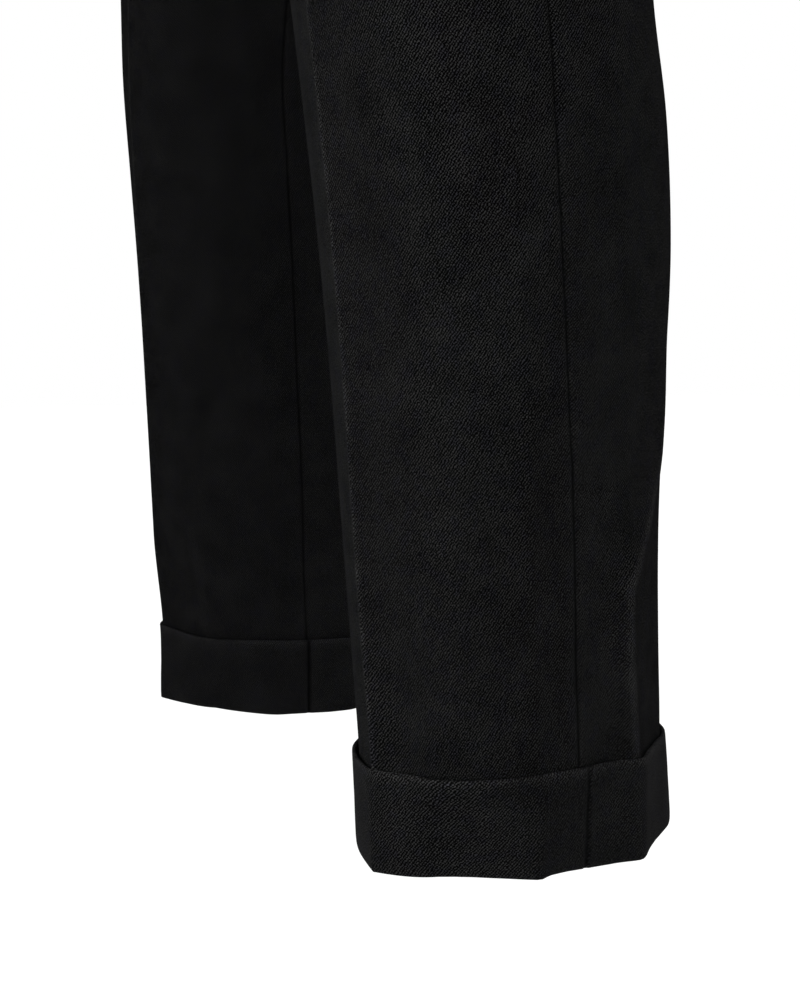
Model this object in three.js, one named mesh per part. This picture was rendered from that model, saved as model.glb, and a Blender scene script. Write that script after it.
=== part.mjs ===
// Pleated trousers, filled out as worn: four cloth panels, two turn-ups, waistband, fly underlap and button.
// Millimetres, +Z up. The origin is the middle of the waistband, half way up it. The wearer faces -Y,
// and the wearer's left is +X. The left leg is worked out here and the right one mirrors it.
import * as THREE from 'three';

// Driving sizes
const CLOTH = 1.2;            // wall of every panel
const SEAM_GAP = 0.3;         // between two pieces that are sewn together
const BAND_HEIGHT = 40;
const BAND_WALL = 3;
const TURN_UP = 45;           // height of the turn-ups
const HEM_Z = -960;           // bottom of the turn-ups
const CROTCH_Z = -260;
const CROTCH_Y = 8;
const FRONT_FORK = 110;       // height of the crotch curve in front
const BACK_FORK = 120;        // and behind
const ROUND = 0.552;          // share of a quarter's extent that makes its curve round

// The pressed creases: the angle they add to the curve on each side, and how much blunter than round
// the leg is beside them.
const FRONT_CREASE = { bend: 0, blunt: 1.45 };
const BACK_CREASE = { bend: 8, blunt: 1 };

// The faces that pressing leaves on a leg, by place round it: 0 at the front crease, 1 at the side seam,
// 2 at the back crease and 3 at the inseam. Each is pressed in by its share of a ring's flat.
const FACES = [
  { from: 0, to: 0.8, share: 1 }, { from: 0.8, to: 1.3, share: 0.3 }, { from: 1.3, to: 2, share: 0.4 },
  { from: 2, to: 2.7, share: 0.3 }, { from: 2.7, to: 3.2, share: 0.25 }, { from: 3.2, to: 4, share: 0.4 },
];
// How far the bottom of the leg stands out or in besides, by place round it.
const HEM_SHAPE = [
  [0, 0], [0.15, -2.8], [0.3, -5.5], [0.4, -6], [0.52, -5.6], [0.65, -5], [0.8, -4], [0.93, -3.2],
  [1.04, -1.4], [1.15, 0], [1.3, 2.5], [1.5, 2.5], [1.7, 4], [1.9, 4], [2.1, 3], [2.4, 1], [2.7, 0],
  [3.2, 0], [3.6, 1.5], [4, 0],
];

// The crotch curve's start in front and behind, above the forks
const CENTRE_FRONT_Y = -118;
const CENTRE_BACK_Y = 134;

// Rings of the left leg, from the crotch down. side and inner are the x of the outseam and the inseam,
// seam the y of both, crease the x of both creases, front and back their y. Near the crotch, cornerX and
// cornerY say how far the section fills the corner between its inner edge and its crease line: shares
// of the way from the middle plane and from the seams' y to the crease line. flat is how deep the section
// is pressed in between its creases and corners, and hem how much of the hem's own shape it has.
const LEG_RINGS = [
  { z: -260, side: 184, inner: 1.1, seam: 8, crease: 92, front: -107, back: 126, cornerX: 0.34, cornerY: 0.79 },
  { z: -266, side: 184, inner: 6, seam: 7.5, crease: 92, front: -107, back: 126, cornerX: 0.3, cornerY: 0.78 },
  { z: -275, side: 184, inner: 10.5, seam: 7, crease: 92, front: -107, back: 125, cornerX: 0.26, cornerY: 0.76 },
  { z: -290, side: 184, inner: 15, seam: 6, crease: 92, front: -106, back: 124, cornerX: 0.23, cornerY: 0.73 },
  { z: -318, side: 185, inner: 21, seam: 3, crease: 94, front: -104, back: 120, cornerX: 0.25, cornerY: 0.68 },
  { z: -360, side: 186, inner: 28, seam: -2, crease: 96, front: -102, back: 114, cornerX: 0.3, cornerY: 0.62 },
  { z: -425, side: 188, inner: 41, seam: -10, crease: 103, front: -99, back: 101, flat: 0 },
  { z: -500, side: 190, inner: 56, seam: -18, crease: 112, front: -95.5, back: 85, flat: 0.5 },
  { z: -580, side: 192, inner: 67, seam: -24, crease: 123.5, front: -93.5, back: 76, flat: 1.2 },
  { z: -635, side: 192.5, inner: 72, seam: -19, crease: 129.5, front: -90, back: 83.5, flat: 2.4 },
  { z: -690, side: 192.5, inner: 76.5, seam: -14, crease: 134.5, front: -86.5, back: 85.5, flat: 3.8 },
  { z: -760, side: 193, inner: 81.5, seam: -9, crease: 138.5, front: -82.5, back: 80.5, flat: 4.6 },
  { z: -820, side: 193.5, inner: 84.5, seam: -5, crease: 141, front: -79.5, back: 77, flat: 5.3 },
  { z: -875, side: 194, inner: 87, seam: -3, crease: 144.5, front: -77, back: 77, flat: 6.4 },
  { z: -915, side: 194.5, inner: 88, seam: -1, crease: 148, front: -75.5, back: 77, flat: 7.5, hem: 0 },
  { z: -960, side: 195, inner: 89, seam: 0, crease: 151, front: -75, back: 75.5, flat: 9, hem: 1 },
];

// Sections of the left half of the top, from the waistband down to just above the crotch. lean is the
// angle of the section at the crease lines, open how far the pleats have opened, from 0 where they are
// pressed flat to 1 where they are gone, and dart how deep the dart still is.
const TOP_RINGS = [
  { z: -20.3, side: 140, seam: 0, crease: 72, front: -90, back: 91, lean: 24, open: 0, dart: 1 },
  { z: -45, side: 146, seam: 0.5, crease: 75, front: -94, back: 96, lean: 23, open: 0.06, dart: 0.8 },
  { z: -70, side: 153, seam: 1, crease: 78, front: -97, back: 102, lean: 22, open: 0.2, dart: 0.5 },
  { z: -95, side: 161, seam: 2, crease: 81, front: -100, back: 107, lean: 21, open: 0.4, dart: 0.2 },
  { z: -120, side: 168, seam: 3, crease: 84, front: -102, back: 112, lean: 20, open: 0.6, dart: 0 },
  { z: -145, side: 174, seam: 4, crease: 86, front: -104, back: 117, lean: 17, open: 0.75, dart: 0 },
  { z: -170, side: 179, seam: 5, crease: 88, front: -105, back: 121, lean: 14, open: 0.88, dart: 0 },
  { z: -195, side: 182, seam: 6, crease: 90, front: -106, back: 124, lean: 10, open: 1, cornerX: 0.53, cornerY: 1.0 },
  { z: -218, side: 184, seam: 7, crease: 91, front: -107, back: 126, lean: 6, open: 1, cornerX: 0.5, cornerY: 0.93 },
  { z: -237, side: 184, seam: 7.5, crease: 92, front: -107, back: 127, lean: 3, open: 1, cornerX: 0.45, cornerY: 0.87 },
  { z: -250, side: 184, seam: 8, crease: 92, front: -107, back: 127, lean: 1, open: 1, cornerX: 0.4, cornerY: 0.82 },
  { z: -257, side: 184, seam: 8, crease: 92, front: -107, back: 126, lean: 0, open: 1, cornerX: 0.36, cornerY: 0.8 },
];
const WAIST_FRONT_Y = -104;   // centre front and centre back at the waistband
const WAIST_BACK_Y = 104;
const UNDERLAP_Z = -170;      // bottom of the fly underlap

// Knife pleats of a front panel, folded towards the side seam. edge is the fold edge's share of the way
// from the side seam to the crease line, depth the cloth folded under it.
const PLEATS = [
  { name: 'side', edge: 0.56, depth: 12 },
  { name: 'main', edge: 1, depth: 16 },
];
const LAYER = 2;              // from one layer of a pleat to the next
const WAVE_FROM = 0.55;       // a pleat that has opened this far starts to sink into the panel

// Columns of a front panel from the side seam to the centre: plain ones by their share of the way
// along the base curve, and the nine of each pleat.
const PLAIN_BEFORE = [0, 0.2, 0.4];      // shares from the side seam to the side pleat's edge
const PLAIN_AFTER = [0.58, 0.8, 1];      // shares from the main pleat's edge to the centre
const BACK_COLUMNS = 16;
const DART_DEPTH = 1.6;        // how far the dart at the back crease line sinks in

const COLOURS = { cloth: 0x17171a, button: 0x1a1718 };

// A quarter of a section: a cubic curve between two points with a handle at each.
function quarter(start, end, startHandle, endHandle) {
  return new THREE.CubicBezierCurve(
    start, start.clone().add(startHandle), end.clone().add(endHandle), end);
}

// The point where a section starts or ends on its inner edge.
function innerPoint(ring, isFront) {
  if (ring.inner !== undefined) return new THREE.Vector2(ring.inner, ring.seam);
  const height = isFront ? FRONT_FORK : BACK_FORK;
  const hip = isFront ? CENTRE_FRONT_Y : CENTRE_BACK_Y;
  const waist = isFront ? WAIST_FRONT_Y : WAIST_BACK_Y;
  const rise = Math.min((ring.z - CROTCH_Z) / height, 1);
  let y = CROTCH_Y + (hip - CROTCH_Y) * Math.sqrt(1 - (1 - rise) ** 2);
  const hipZ = CROTCH_Z + height;
  if (ring.z > hipZ) y = hip + (waist - hip) * ((ring.z - hipZ) / (-BAND_HEIGHT / 2 - hipZ)) ** 1.6;
  return new THREE.Vector2(SEAM_GAP / 2, y);
}

// The corner that a section's curve bends round between its inner edge and its crease line.
function innerCorner(ring, crease, inner) {
  if (ring.cornerX !== undefined) {
    return new THREE.Vector2(
      crease.x * ring.cornerX, THREE.MathUtils.lerp(ring.seam, crease.y, ring.cornerY));
  }
  if (ring.inner !== undefined) {
    return new THREE.Vector2(inner.x, THREE.MathUtils.lerp(inner.y, crease.y, ROUND));
  }
  return new THREE.Vector2(THREE.MathUtils.lerp(inner.x, crease.x, ROUND), inner.y);
}

// The two curves of one panel at one ring: side seam to crease and crease to inner edge.
function panelCurves(ring, isFront, out = 0) {
  const sign = isFront ? -1 : 1;
  const side = new THREE.Vector2(ring.side + out, ring.seam);
  const crease = new THREE.Vector2(ring.crease, (isFront ? ring.front : ring.back) + sign * out);
  const inner = innerPoint(ring, isFront);
  if (ring.inner !== undefined) inner.x -= out;
  const fold = isFront ? FRONT_CREASE : BACK_CREASE;
  const sideBend = THREE.MathUtils.degToRad(fold.bend + (ring.lean ?? 0));
  const innerBend = THREE.MathUtils.degToRad(fold.bend - (ring.lean ?? 0));
  const long = Math.abs(crease.y - side.y) * ROUND;
  const outer = (side.x - crease.x) * ROUND;
  const toInner = (crease.x - inner.x) * ROUND;
  const first = quarter(side, crease,
    new THREE.Vector2(0, sign * long),
    new THREE.Vector2(Math.cos(sideBend) * outer, -sign * Math.sin(sideBend) * outer).multiplyScalar(fold.blunt));
  const second = quarter(crease, inner,
    new THREE.Vector2(-Math.cos(innerBend) * toInner, -sign * Math.sin(innerBend) * toInner).multiplyScalar(fold.blunt),
    innerCorner(ring, crease, inner).sub(inner));
  return [first, second];
}

const smooth = (x) => THREE.MathUtils.smoothstep(x, 0, 1);

// How far a ring's wall stands out at a place round the leg, from its pressed faces and the hem's shape.
function pressed(ring, place) {
  let out = 0;
  for (const face of FACES) {
    const x = (place - face.from) / (face.to - face.from);
    if (x > 0 && x < 1) out -= (ring.flat ?? 0) * face.share * 4 * x * (1 - x);
  }
  const next = HEM_SHAPE.findIndex(([at]) => at >= place);
  const [a, b] = [HEM_SHAPE[Math.max(next - 1, 0)], HEM_SHAPE[next]];
  const shape = a === b ? a[1] : THREE.MathUtils.mapLinear(place, a[0], b[0], a[1], b[1]);
  return out + (ring.hem ?? 0) * shape;
}

// Places round the leg of the columns of a front panel and then a back panel.
function placesRound(columns) {
  const front = columns.map(({ open }) => (open <= 1 ? 1 - open : 5 - open)).reverse();
  const back = Array.from({ length: BACK_COLUMNS }, (_, i) => 1 + (2 * (i + 1)) / BACK_COLUMNS);
  return [...front, ...back];
}

// Points along two curves at even shares of their length.
function along(curves, share) {
  const which = share <= 1 ? 0 : 1;
  return curves[which].getPointAt(THREE.MathUtils.clamp(share - which, 0, 1));
}

// Columns of a front panel. share runs from 0 at the side seam over 1 at the crease to 2 at the inner
// edge. A pleat's columns hold the pleat, how far they lie from its edge and on which layer.
function frontColumns() {
  const columns = PLAIN_BEFORE.map((share) => ({ folded: share }));
  for (const pleat of PLEATS) {
    const turned = LAYER / 2;
    const places = [
      [-6, 0], [pleat.depth - turned, 0], [pleat.depth, 0.5], [pleat.depth - turned, 1],
      [turned, 1], [0, 1.5], [turned, 2], [pleat.depth * 0.7, 2],
    ];
    for (const [offset, layer] of places) columns.push({ folded: pleat.edge, offset, layer, pleat });
    columns.push({ folded: pleat.edge, offset: pleat.depth + 14, layer: 0.6, pleat });
  }
  for (const share of PLAIN_AFTER) columns.push({ folded: 1 + share });
  const edge = columns.findIndex((c) => c.pleat?.name === 'main' && c.offset === 0);
  columns.forEach((column, i) => {
    column.open = i <= edge ? i / edge : 1 + (i - edge) / (columns.length - 1 - edge);
  });
  return columns;
}

// The middle of a front panel's cloth at one ring, from the side seam to the inner edge.
function frontRow(ring, columns, out) {
  const curves = panelCurves(ring, true, out);
  const length = curves.map((curve) => curve.getLength());
  const open = ring.open ?? 1;
  return columns.map(({ folded, offset = 0, layer = 0, open: openShare }) => {
    const at = folded * length[0] + offset;
    const flat = folded <= 1
      ? (at <= length[0] ? at / length[0] : 1 + (at - length[0]) / length[1])
      : folded;
    const share = THREE.MathUtils.lerp(flat, openShare, open);
    const point = along(curves, share);
    const before = along(curves, Math.max(share - 0.01, 0));
    const after = along(curves, Math.min(share + 0.01, 2));
    const tangent = after.sub(before).normalize();
    const raised = layer * LAYER * (1 - smooth((open - WAVE_FROM) / (1 - WAVE_FROM)));
    return new THREE.Vector3(point.x - tangent.y * raised, point.y + tangent.x * raised, ring.z);
  });
}

// The middle of a back panel's cloth at one ring. The dart sinks a narrow trough at the crease line.
function backRow(ring, out) {
  const curves = panelCurves(ring, false, out);
  const row = [];
  for (let i = 0; i <= BACK_COLUMNS; i += 1) {
    const share = (2 * i) / BACK_COLUMNS;
    const point = along(curves, share);
    const sunk = i === BACK_COLUMNS / 2 ? (ring.dart ?? 0) * DART_DEPTH : 0;
    row.push(new THREE.Vector3(point.x, point.y - sunk, ring.z));
  }
  return row;
}

// Outward normals of a whole half section, front and back, one for each point of each row.
function normals(rows, closedFrom) {
  const count = rows[0].length;
  return rows.map((row, r) => row.map((point, c) => {
    const up = rows[Math.max(r - 1, 0)][c];
    const down = rows[Math.min(r + 1, rows.length - 1)][c];
    const closed = r >= closedFrom;
    const last = count - 1;
    const before = c > 0 ? row[c - 1] : closed ? row[last - 1] : point;
    const after = c < last ? row[c + 1] : closed ? row[1] : point;
    const normal = after.clone().sub(before).cross(up.clone().sub(down));
    if (!closed && (c === 0 || c === last)) normal.x = 0;
    return normal.normalize();
  }));
}

// A closed wall between two grids of points, outer and inner, that have the same rows and columns.
function wall(outer, inner) {
  const rows = outer.length;
  const columns = outer[0].length;
  const positions = [];
  for (const grid of [outer, inner]) for (const row of grid) for (const p of row) positions.push(p.x, p.y, p.z);
  const at = (side, r, c) => side * rows * columns + r * columns + c;
  const index = [];
  const face = (a, b, c, d) => index.push(a, b, c, a, c, d);
  for (let r = 0; r < rows - 1; r += 1) {
    for (let c = 0; c < columns - 1; c += 1) {
      face(at(0, r, c), at(0, r + 1, c), at(0, r + 1, c + 1), at(0, r, c + 1));
      face(at(1, r, c), at(1, r, c + 1), at(1, r + 1, c + 1), at(1, r + 1, c));
    }
    face(at(0, r, 0), at(1, r, 0), at(1, r + 1, 0), at(0, r + 1, 0));
    const e = columns - 1;
    face(at(0, r, e), at(0, r + 1, e), at(1, r + 1, e), at(1, r, e));
  }
  const l = rows - 1;
  for (let c = 0; c < columns - 1; c += 1) {
    face(at(0, 0, c), at(0, 0, c + 1), at(1, 0, c + 1), at(1, 0, c));
    face(at(0, l, c), at(1, l, c), at(1, l, c + 1), at(0, l, c + 1));
  }
  const geometry = new THREE.BufferGeometry();
  geometry.setAttribute('position', new THREE.Float32BufferAttribute(positions, 3));
  geometry.setIndex(index);
  geometry.computeVertexNormals();
  return geometry;
}

// The same geometry on the other leg, which stands back a little from the hips down.
const SET_BACK = { by: 9, from: -300, to: -560 };

function mirrored(geometry) {
  const copy = geometry.clone();
  copy.scale(-1, 1, 1);
  const points = copy.getAttribute('position');
  for (let i = 0; i < points.count; i += 1) {
    const share = (points.getZ(i) - SET_BACK.from) / (SET_BACK.to - SET_BACK.from);
    points.setY(i, points.getY(i) + SET_BACK.by * smooth(share));
  }
  const index = copy.getIndex();
  for (let i = 0; i < index.count; i += 3) {
    const second = index.getX(i + 1);
    index.setX(i + 1, index.getX(i + 2));
    index.setX(i + 2, second);
  }
  copy.computeVertexNormals();
  return copy;
}

// Both panels of the left half: each point moved half the wall out and in, and kept on its own side of
// the seams that it meets.
const HEM_STANDS = 2.4;       // the panels end this far above the bottom of the turn-up

function ringsOfLeg() {
  const rings = LEG_RINGS.slice(0, -1);
  const above = LEG_RINGS.at(-2);
  const hem = LEG_RINGS.at(-1);
  const share = (above.z - (HEM_Z + HEM_STANDS)) / (above.z - hem.z);
  rings.push(mixRings(above, hem, share));
  return rings;
}

function mixRings(a, b, share) {
  return Object.fromEntries(Object.keys(a).map((key) => [key, THREE.MathUtils.lerp(a[key], b[key], share)]));
}

function panels() {
  const columns = frontColumns();
  const rings = [...TOP_RINGS, ...ringsOfLeg()];
  const closedFrom = TOP_RINGS.length;
  const seamAt = (z) => {
    const below = rings.findIndex((ring) => ring.z <= z);
    if (below <= 0) return rings[below === 0 ? 0 : rings.length - 1].seam;
    const a = rings[below - 1];
    const b = rings[below];
    return THREE.MathUtils.lerp(a.seam, b.seam, (a.z - z) / (a.z - b.z));
  };
  const whole = rings.map((ring) => [
    ...frontRow(ring, columns, 0).reverse(), ...backRow(ring, 0).slice(1)]);
  const outward = normals(whole, closedFrom);
  const places = placesRound(columns);
  const moved = (distance) => whole.map((row, r) => row.map((point, c) =>
    point.clone().addScaledVector(outward[r][c], distance + pressed(rings[r], places[c]))));
  const sides = [moved(CLOTH / 2), moved(-CLOTH / 2)];
  const cut = (grid, isFront) => grid.map((row) => {
    const part = isFront ? row.slice(0, columns.length) : row.slice(columns.length - 1);
    return part.map((point) => {
      const seam = seamAt(point.z);
      const y = isFront ? Math.min(point.y, seam - SEAM_GAP / 2) : Math.max(point.y, seam + SEAM_GAP / 2);
      return new THREE.Vector3(Math.max(point.x, SEAM_GAP / 2), y, point.z);
    });
  });
  return [true, false].map((isFront) => wall(cut(sides[0], isFront), cut(sides[1], isFront)));
}

// One leg's section all round, moved out, with the columns of the panels that it lies on.
function ringSection(ring, out) {
  const fronts = frontColumns().map((column) => column.open).reverse();
  const backs = Array.from({ length: BACK_COLUMNS - 1 }, (_, i) => (2 * (i + 1)) / BACK_COLUMNS);
  const frontCurves = panelCurves(ring, true, out);
  const backCurves = panelCurves(ring, false, out);
  const points = [
    ...fronts.map((share) => along(frontCurves, share)),
    ...backs.map((share) => along(backCurves, share)),
  ];
  const places = placesRound(frontColumns());
  return points.map((point, i) => {
    const heading = points[(i + 1) % points.length].clone().sub(points.at(i - 1)).normalize();
    const move = pressed(ring, places[i]);
    return new THREE.Vector2(point.x + heading.y * move, point.y - heading.x * move);
  });
}

// The turn-up: one profile all round the hem. It turns under the panels' lower edges and stands off
// the leg a little more towards its top.
const STANDS_OFF = 1.1;       // between the leg and the turn-up at its top
const DOUBLE_CLOTH = 1.6;     // the turn-up's two layers together

function turnUp() {
  const hem = LEG_RINGS.at(-1);
  const top = LEG_RINGS.at(-2);
  const face = CLOTH / 2;
  const inside = [face + 0.4, face + 0.7, face + STANDS_OFF];
  const lip = HEM_STANDS - SEAM_GAP;
  // out from the middle of the leg's cloth, and height above the hem
  const profile = [
    [-face, 0.5], [inside[0] + 1.6, 0], [inside[0] + DOUBLE_CLOTH, 1.4],
    [inside[1] + DOUBLE_CLOTH, TURN_UP / 2], [inside[2] + DOUBLE_CLOTH, TURN_UP - 1],
    [inside[2] + DOUBLE_CLOTH / 2, TURN_UP], [inside[2], TURN_UP - 1],
    [inside[1], TURN_UP / 2], [inside[0], lip], [-face, lip],
  ];
  const rings = profile.map(([out, height]) => {
    const ring = mixRings(hem, top, height / (top.z - hem.z));
    return ringSection(ring, out).map((p) => new THREE.Vector3(p.x, p.y, HEM_Z + height));
  });
  return torus(rings);
}

// The waistband: a strip round the waist. Its left end laps over its right end in front.
const LAP = 30;               // how far the left end reaches past the centre
const LAP_STANDS = BAND_WALL + 0.6;   // how far out the lapped end lies
const BAND_STEPS = 14;        // steps in each quarter of the waist

// Left half of the waist from front to back, without the points on the centre line.
function waistHalf(out) {
  const ring = TOP_RINGS[0];
  const points = [];
  for (const isFront of [true, false]) {
    const curves = panelCurves(ring, isFront, out);
    for (let i = 0; i < BAND_STEPS; i += 1) {
      const share = (2 * (i + 0.5)) / BAND_STEPS;
      points.push(along(curves, isFront ? 2 - share : share));
    }
  }
  return points;
}

// The middle of the lapped end at x.
function lapY(x) {
  return waistHalf(BAND_WALL / 2)[0].y - LAP_STANDS + (x * x) / 900;
}

function waistband() {
  const left = waistHalf(BAND_WALL / 2);
  const right = left.map((p) => new THREE.Vector2(-p.x, p.y)).reverse();
  const frontY = left[0].y;
  const lapped = [-LAP, -LAP * 0.66, -LAP * 0.33, 0].map((x) => new THREE.Vector2(x, lapY(x)));
  const rising = new THREE.Vector2(left[0].x * 1.1, frontY - LAP_STANDS * 0.62);
  const path = [...lapped, rising, ...left.slice(1), ...right,
    new THREE.Vector2(-2, frontY)];
  const heights = [BAND_HEIGHT / 2, BAND_HEIGHT / 2 - 1, -BAND_HEIGHT / 2 + 1, -BAND_HEIGHT / 2];
  const grids = [1, -1].map((side) => heights.map((z, r) => {
    const wallShare = r === 0 || r === heights.length - 1 ? 0.6 : 1;
    return path.map((p, i) => {
      const tangent = path[Math.min(i + 1, path.length - 1)].clone().sub(path[Math.max(i - 1, 0)]).normalize();
      const distance = (side * wallShare * BAND_WALL) / 2;
      return new THREE.Vector3(p.x + tangent.y * distance, p.y - tangent.x * distance, z);
    });
  }));
  return wall(grids[0], grids[1]);
}

// The fly underlap: a strip of cloth just behind the fronts where they meet, up to the waistband.
const UNDERLAP = { right: -34, left: 8, steps: 7, end: 0.7 };   // end: the share of its width at the bottom
const UNDERLAP_GAP = 0.6;

function flyUnderlap() {
  const columns = frontColumns();
  const rings = TOP_RINGS.filter((ring) => ring.z >= UNDERLAP_Z);
  const behind = CLOTH + UNDERLAP_GAP;
  const middle = rings.map((ring, r) => {
    const front = frontRow(ring, columns, 0);
    const width = r === rings.length - 1 ? UNDERLAP.end : 1;
    const row = [];
    for (let i = 0; i <= UNDERLAP.steps; i += 1) {
      const x = THREE.MathUtils.lerp(UNDERLAP.right, UNDERLAP.left, i / UNDERLAP.steps) * width;
      const next = front.findIndex((p) => p.x <= Math.max(Math.abs(x), front.at(-1).x));
      const [a, b] = [front[next - 1], front[next]];
      const y = THREE.MathUtils.mapLinear(Math.max(Math.abs(x), b.x), a.x, b.x, a.y, b.y);
      row.push(new THREE.Vector3(x, y + behind, ring.z));
    }
    return row;
  });
  const moved = (distance) => middle.map((row) => row.map((p) => new THREE.Vector3(p.x, p.y - distance, p.z)));
  return wall(moved(CLOTH / 2), moved(-CLOTH / 2));
}

// The waist button: a dished disc with a rim, 18 mm across.
const BUTTON = { radius: 9, thick: 3, rim: 2, dish: 0.7, x: -16, turn: 0.036 };

function waistButton() {
  const { radius, thick, rim, dish } = BUTTON;
  const profile = [
    [0, 0], [radius - 1, 0], [radius, 1], [radius, thick - 0.8], [radius - 0.8, thick],
    [radius - rim, thick], [radius - rim - 0.8, thick - dish], [0, thick - dish],
  ].map(([r, h]) => new THREE.Vector2(r, h));
  return new THREE.LatheGeometry(profile, 28);
}

// A closed body from rings that follow each other round a profile.
function torus(rings) {
  const around = rings[0].length;
  const positions = rings.flatMap((ring) => ring.flatMap((p) => [p.x, p.y, p.z]));
  const index = [];
  rings.forEach((ring, r) => {
    const next = (r + 1) % rings.length;
    for (let i = 0; i < around; i += 1) {
      const j = (i + 1) % around;
      const [a, b, c, d] = [r * around + i, r * around + j, next * around + j, next * around + i];
      index.push(a, b, c, a, c, d);
    }
  });
  const geometry = new THREE.BufferGeometry();
  geometry.setAttribute('position', new THREE.Float32BufferAttribute(positions, 3));
  geometry.setIndex(index);
  geometry.computeVertexNormals();
  return geometry;
}

const cloth = new THREE.MeshStandardMaterial({ color: COLOURS.cloth, roughness: 0.95, metalness: 0 });
const horn = new THREE.MeshStandardMaterial({ color: COLOURS.button, roughness: 0.4, metalness: 0 });
const [front, back] = panels();
const cuff = turnUp();

const trousers = new THREE.Group();
trousers.name = 'trousers';
function add(name, geometry, material = cloth) {
  const mesh = new THREE.Mesh(geometry, material);
  mesh.name = name;
  trousers.add(mesh);
  return mesh;
}
add('front_left', front);
add('front_right', mirrored(front));
add('back_left', back);
add('back_right', mirrored(back));
add('cuff_left', cuff);
add('cuff_right', mirrored(cuff));
add('waistband', waistband());
add('fly_underlap', flyUnderlap());
const button = add('waist_button', waistButton(), horn);
button.position.set(BUTTON.x, lapY(BUTTON.x) - BAND_WALL / 2 - SEAM_GAP, 0);
button.rotation.z = BUTTON.turn;
button.rotation.x = Math.PI;

export default trousers;
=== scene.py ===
import bpy
import numpy as np
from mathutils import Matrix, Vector


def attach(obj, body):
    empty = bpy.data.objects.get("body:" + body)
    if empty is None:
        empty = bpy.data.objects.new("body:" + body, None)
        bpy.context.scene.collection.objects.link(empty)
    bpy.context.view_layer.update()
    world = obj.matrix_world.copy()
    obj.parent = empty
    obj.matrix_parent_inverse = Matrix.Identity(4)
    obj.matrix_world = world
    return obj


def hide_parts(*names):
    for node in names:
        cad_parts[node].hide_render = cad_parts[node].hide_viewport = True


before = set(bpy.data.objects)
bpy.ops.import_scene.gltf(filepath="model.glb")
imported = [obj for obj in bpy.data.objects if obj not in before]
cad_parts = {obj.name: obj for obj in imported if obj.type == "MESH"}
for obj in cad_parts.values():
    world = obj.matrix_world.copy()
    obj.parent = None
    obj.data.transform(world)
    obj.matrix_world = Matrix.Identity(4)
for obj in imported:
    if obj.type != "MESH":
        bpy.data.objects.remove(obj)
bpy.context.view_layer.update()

cloth_mm = 1.2
seam_gap = 0.3
crotch_height = -260
hem_height = -960
panel_top = -20.3
panel_end = -957.6
pleats_open = -195            # the height from which the pleats have opened out
fork_end = -425               # the height below which a leg's section is its own
roundness = 0.552

# The left leg's lines, in mm, by height: the outseam's x, the y of both seams, the x of the two crease
# lines, and the y of the front and back crease.
leg_lines = {
    "height": [-20, -45, -70, -95, -120, -145, -170, -195, -218, -237, -250, -260, -275, -290, -318, -360,
               -425, -500, -580, -635, -690, -760, -820, -875, -915, -960],
    "outseam": [140, 146, 153, 161, 168, 174, 179, 182, 184, 184, 184, 184, 184, 184, 185, 186,
                188, 190, 192, 192.5, 192.5, 193, 193.5, 194, 194.5, 195],
    "seams": [0, 0.5, 1, 2, 3, 4, 5, 6, 7, 7.5, 8, 8, 7, 6, 3, -2,
              -10, -18, -24, -19, -14, -9, -5, -3, -1, 0],
    "creases": [72, 75, 78, 81, 84, 86, 88, 90, 91, 92, 92, 92, 92, 92, 94, 96,
                103, 112, 123.5, 129.5, 134.5, 138.5, 141, 144.5, 148, 151],
    "front": [-90, -94, -97, -100, -102, -104, -105, -106, -107, -107, -107, -107, -107, -106, -104, -102,
              -99, -95.5, -93.5, -90, -86.5, -82.5, -79.5, -77, -75.5, -75],
    "back": [91, 96, 102, 107, 112, 117, 121, 124, 126, 127, 127, 126, 125, 124, 120, 114,
             101, 85, 76, 83.5, 85.5, 80.5, 77, 77, 77, 75.5],
    "flat": [0, 0, 0, 0, 0, 0, 0, 0, 0, 0, 0, 0, 0, 0, 0, 0,
             0, 0.5, 1.2, 2.4, 3.8, 4.6, 5.3, 6.4, 7.5, 9],
}
# The inseam's x below the crotch, and how far the section fills the corner beside it.
inseam_line = {
    "height": [-260, -262, -266, -275, -290, -318, -360, -425, -500,
               -580, -635, -690, -760, -820, -875, -915, -960],
    "inseam": [1.1, 3.2, 6, 10.5, 15, 21, 28, 41, 56,
               67, 72, 76.5, 81.5, 84.5, 87, 88, 89],
}
corner_line = {
    "height": [-195, -218, -237, -250, -257, -266, -275, -290, -318, -360, -425],
    "across": [0.53, 0.5, 0.45, 0.4, 0.36, 0.3, 0.26, 0.23, 0.25, 0.3, 0.398],
    "deep": [1.0, 0.93, 0.87, 0.82, 0.8, 0.78, 0.76, 0.73, 0.68, 0.62, 0.552],
}
# The top's lean at the crease lines in degrees, and how far the pleats have opened.
top_line = {
    "height": [-20, -45, -70, -95, -120, -145, -170, -195, -218, -237, -250, -260],
    "lean": [24, 23, 22, 21, 20, 17, 14, 10, 6, 3, 1, 0],
    "open": [0, 0.06, 0.2, 0.4, 0.6, 0.75, 0.88, 1, 1, 1, 1, 1],
}


def flowing(line, name, height):
    """A smooth line through a line's values, at one height."""
    stops = np.array(line["height"][::-1], float)
    values = np.array(line[name][::-1], float)
    height = np.clip(height, stops[0], stops[-1])
    slopes = np.gradient(values, stops)
    i = min(max(np.searchsorted(stops, height) - 1, 0), len(stops) - 2)
    gap = stops[i + 1] - stops[i]
    x = (height - stops[i]) / gap
    return (values[i] * (1 + 2 * x) * (1 - x) ** 2 + gap * slopes[i] * x * (1 - x) ** 2
            + values[i + 1] * x * x * (3 - 2 * x) + gap * slopes[i + 1] * x * x * (x - 1))


def eased(x):
    x = np.clip(x, 0, 1)
    return x * x * (3 - 2 * x)


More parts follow.
